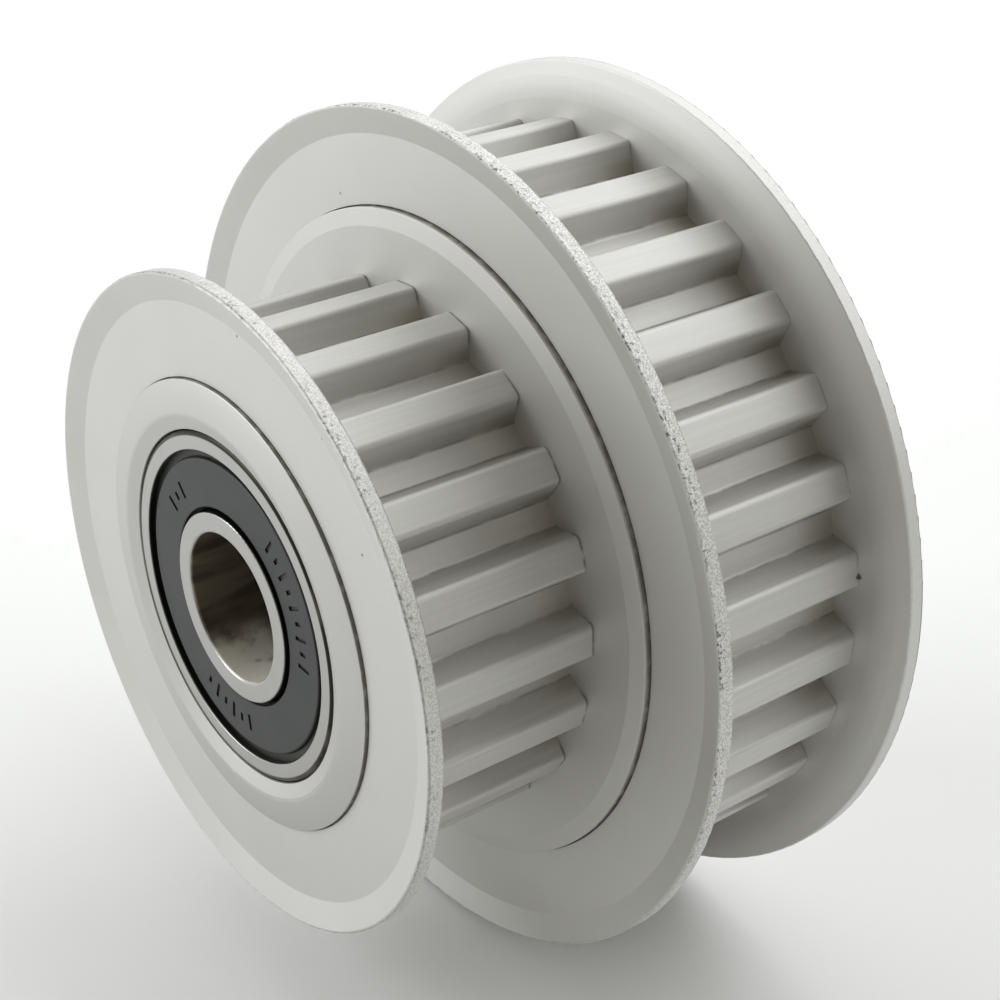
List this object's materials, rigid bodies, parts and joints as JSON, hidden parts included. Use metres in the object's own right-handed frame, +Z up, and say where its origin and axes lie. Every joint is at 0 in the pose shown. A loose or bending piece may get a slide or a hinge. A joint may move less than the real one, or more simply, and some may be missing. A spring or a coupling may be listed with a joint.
{
  "type": "timing belt idler pulley",
  "caption": "Flanged toothed idler pulley with a small and a large belt track on one body, free to turn on sealed ball bearings.",
  "frame": {"origin": "on the axis of rotation, half way along the pulley's length", "axes": "+Y along the axis of rotation from the small track to the large one, +Z up, +X to the right when the small end is faced"},
  "size_m": [0.1, 0.0542, 0.1],
  "materials": {
    "body_aluminium": "bead-blasted and clear anodised, matt",
    "flange_aluminium": "bead-blasted and clear anodised, matt, cut rim left bright",
    "bearing_steel": "ground bearing steel",
    "ball_steel": "polished bearing steel",
    "cage_steel": "pressed steel strip",
    "seal_rubber": "moulded nitrile rubber, satin",
    "seal_steel": "cold-rolled sheet steel",
    "spacer_aluminium": "turned"
  },
  "bodies": {
    "inner_rings": {"front_inner_ring": "bearing_steel", "rear_inner_ring": "bearing_steel", "inner_spacer": "spacer_aluminium"},
    "pulley": {"pulley_body": "body_aluminium", "front_flange": "flange_aluminium", "middle_flange": "flange_aluminium", "rear_flange": "flange_aluminium", "front_outer_ring": "bearing_steel", "front_outer_seal_rubber": "seal_rubber", "front_outer_seal_core": "seal_steel", "front_inner_seal_rubber": "seal_rubber", "front_inner_seal_core": "seal_steel", "rear_outer_ring": "bearing_steel", "rear_outer_seal_rubber": "seal_rubber", "rear_outer_seal_core": "seal_steel", "rear_inner_seal_rubber": "seal_rubber", "rear_inner_seal_core": "seal_steel"},
    "front_cage": {"front_cage_outer_half": "cage_steel", "front_cage_inner_half": "cage_steel", "front_cage_rivets": "cage_steel"},
    "rear_cage": {"rear_cage_outer_half": "cage_steel", "rear_cage_inner_half": "cage_steel", "rear_cage_rivets": "cage_steel"},
    "front_ball_1": {"front_ball_1": "ball_steel"},
    "front_ball_2": {"front_ball_2": "ball_steel"},
    "front_ball_3": {"front_ball_3": "ball_steel"},
    "front_ball_4": {"front_ball_4": "ball_steel"},
    "front_ball_5": {"front_ball_5": "ball_steel"},
    "front_ball_6": {"front_ball_6": "ball_steel"},
    "front_ball_7": {"front_ball_7": "ball_steel"},
    "front_ball_8": {"front_ball_8": "ball_steel"},
    "rear_ball_1": {"rear_ball_1": "ball_steel"},
    "rear_ball_2": {"rear_ball_2": "ball_steel"},
    "rear_ball_3": {"rear_ball_3": "ball_steel"},
    "rear_ball_4": {"rear_ball_4": "ball_steel"},
    "rear_ball_5": {"rear_ball_5": "ball_steel"},
    "rear_ball_6": {"rear_ball_6": "ball_steel"},
    "rear_ball_7": {"rear_ball_7": "ball_steel"},
    "rear_ball_8": {"rear_ball_8": "ball_steel"}
  },
  "joints": [
    {"name": "pulley_spin", "type": "hinge", "parent": "inner_rings", "child": "pulley", "pos_m": [0, 0, 0], "axis": [0, 1, 0], "continuous": true},
    {"name": "front_cage_spin", "type": "hinge", "parent": "inner_rings", "child": "front_cage", "pos_m": [0, -0.02055, 0], "axis": [0, 1, 0], "continuous": true},
    {"name": "front_ball_1_roll", "type": "hinge", "parent": "front_cage", "child": "front_ball_1", "pos_m": [0, -0.02055, 0.01425], "axis": [0, 1, 0], "continuous": true},
    {"name": "front_ball_2_roll", "type": "hinge", "parent": "front_cage", "child": "front_ball_2", "pos_m": [0.01008, -0.02055, 0.01008], "axis": [0, 1, 0], "continuous": true},
    {"name": "front_ball_3_roll", "type": "hinge", "parent": "front_cage", "child": "front_ball_3", "pos_m": [0.01425, -0.02055, 0], "axis": [0, 1, 0], "continuous": true},
    {"name": "front_ball_4_roll", "type": "hinge", "parent": "front_cage", "child": "front_ball_4", "pos_m": [0.01008, -0.02055, -0.01008], "axis": [0, 1, 0], "continuous": true},
    {"name": "front_ball_5_roll", "type": "hinge", "parent": "front_cage", "child": "front_ball_5", "pos_m": [0, -0.02055, -0.01425], "axis": [0, 1, 0], "continuous": true},
    {"name": "front_ball_6_roll", "type": "hinge", "parent": "front_cage", "child": "front_ball_6", "pos_m": [-0.01008, -0.02055, -0.01008], "axis": [0, 1, 0], "continuous": true},
    {"name": "front_ball_7_roll", "type": "hinge", "parent": "front_cage", "child": "front_ball_7", "pos_m": [-0.01425, -0.02055, 0], "axis": [0, 1, 0], "continuous": true},
    {"name": "front_ball_8_roll", "type": "hinge", "parent": "front_cage", "child": "front_ball_8", "pos_m": [-0.01008, -0.02055, 0.01008], "axis": [0, 1, 0], "continuous": true},
    {"name": "rear_cage_spin", "type": "hinge", "parent": "inner_rings", "child": "rear_cage", "pos_m": [0, 0.02055, 0], "axis": [0, 1, 0], "continuous": true},
    {"name": "rear_ball_1_roll", "type": "hinge", "parent": "rear_cage", "child": "rear_ball_1", "pos_m": [0, 0.02055, 0.01425], "axis": [0, 1, 0], "continuous": true},
    {"name": "rear_ball_2_roll", "type": "hinge", "parent": "rear_cage", "child": "rear_ball_2", "pos_m": [-0.01008, 0.02055, 0.01008], "axis": [0, 1, 0], "continuous": true},
    {"name": "rear_ball_3_roll", "type": "hinge", "parent": "rear_cage", "child": "rear_ball_3", "pos_m": [-0.01425, 0.02055, 0], "axis": [0, 1, 0], "continuous": true},
    {"name": "rear_ball_4_roll", "type": "hinge", "parent": "rear_cage", "child": "rear_ball_4", "pos_m": [-0.01008, 0.02055, -0.01008], "axis": [0, 1, 0], "continuous": true},
    {"name": "rear_ball_5_roll", "type": "hinge", "parent": "rear_cage", "child": "rear_ball_5", "pos_m": [0, 0.02055, -0.01425], "axis": [0, 1, 0], "continuous": true},
    {"name": "rear_ball_6_roll", "type": "hinge", "parent": "rear_cage", "child": "rear_ball_6", "pos_m": [0.01008, 0.02055, -0.01008], "axis": [0, 1, 0], "continuous": true},
    {"name": "rear_ball_7_roll", "type": "hinge", "parent": "rear_cage", "child": "rear_ball_7", "pos_m": [0.01425, 0.02055, 0], "axis": [0, 1, 0], "continuous": true},
    {"name": "rear_ball_8_roll", "type": "hinge", "parent": "rear_cage", "child": "rear_ball_8", "pos_m": [0.01008, 0.02055, 0.01008], "axis": [0, 1, 0], "continuous": true}
  ],
  "couplings": [
    {"joint": "front_cage_spin", "follows": "pulley_spin", "ratio": 0.61837},
    {"joint": "front_ball_1_roll", "follows": "pulley_spin", "ratio": 1.9937},
    {"joint": "front_ball_2_roll", "follows": "pulley_spin", "ratio": 1.9937},
    {"joint": "front_ball_3_roll", "follows": "pulley_spin", "ratio": 1.9937},
    {"joint": "front_ball_4_roll", "follows": "pulley_spin", "ratio": 1.9937},
    {"joint": "front_ball_5_roll", "follows": "pulley_spin", "ratio": 1.9937},
    {"joint": "front_ball_6_roll", "follows": "pulley_spin", "ratio": 1.9937},
    {"joint": "front_ball_7_roll", "follows": "pulley_spin", "ratio": 1.9937},
    {"joint": "front_ball_8_roll", "follows": "pulley_spin", "ratio": 1.9937},
    {"joint": "rear_cage_spin", "follows": "pulley_spin", "ratio": 0.61837},
    {"joint": "rear_ball_1_roll", "follows": "pulley_spin", "ratio": 1.9937},
    {"joint": "rear_ball_2_roll", "follows": "pulley_spin", "ratio": 1.9937},
    {"joint": "rear_ball_3_roll", "follows": "pulley_spin", "ratio": 1.9937},
    {"joint": "rear_ball_4_roll", "follows": "pulley_spin", "ratio": 1.9937},
    {"joint": "rear_ball_5_roll", "follows": "pulley_spin", "ratio": 1.9937},
    {"joint": "rear_ball_6_roll", "follows": "pulley_spin", "ratio": 1.9937},
    {"joint": "rear_ball_7_roll", "follows": "pulley_spin", "ratio": 1.9937},
    {"joint": "rear_ball_8_roll", "follows": "pulley_spin", "ratio": 1.9937}
  ]
}
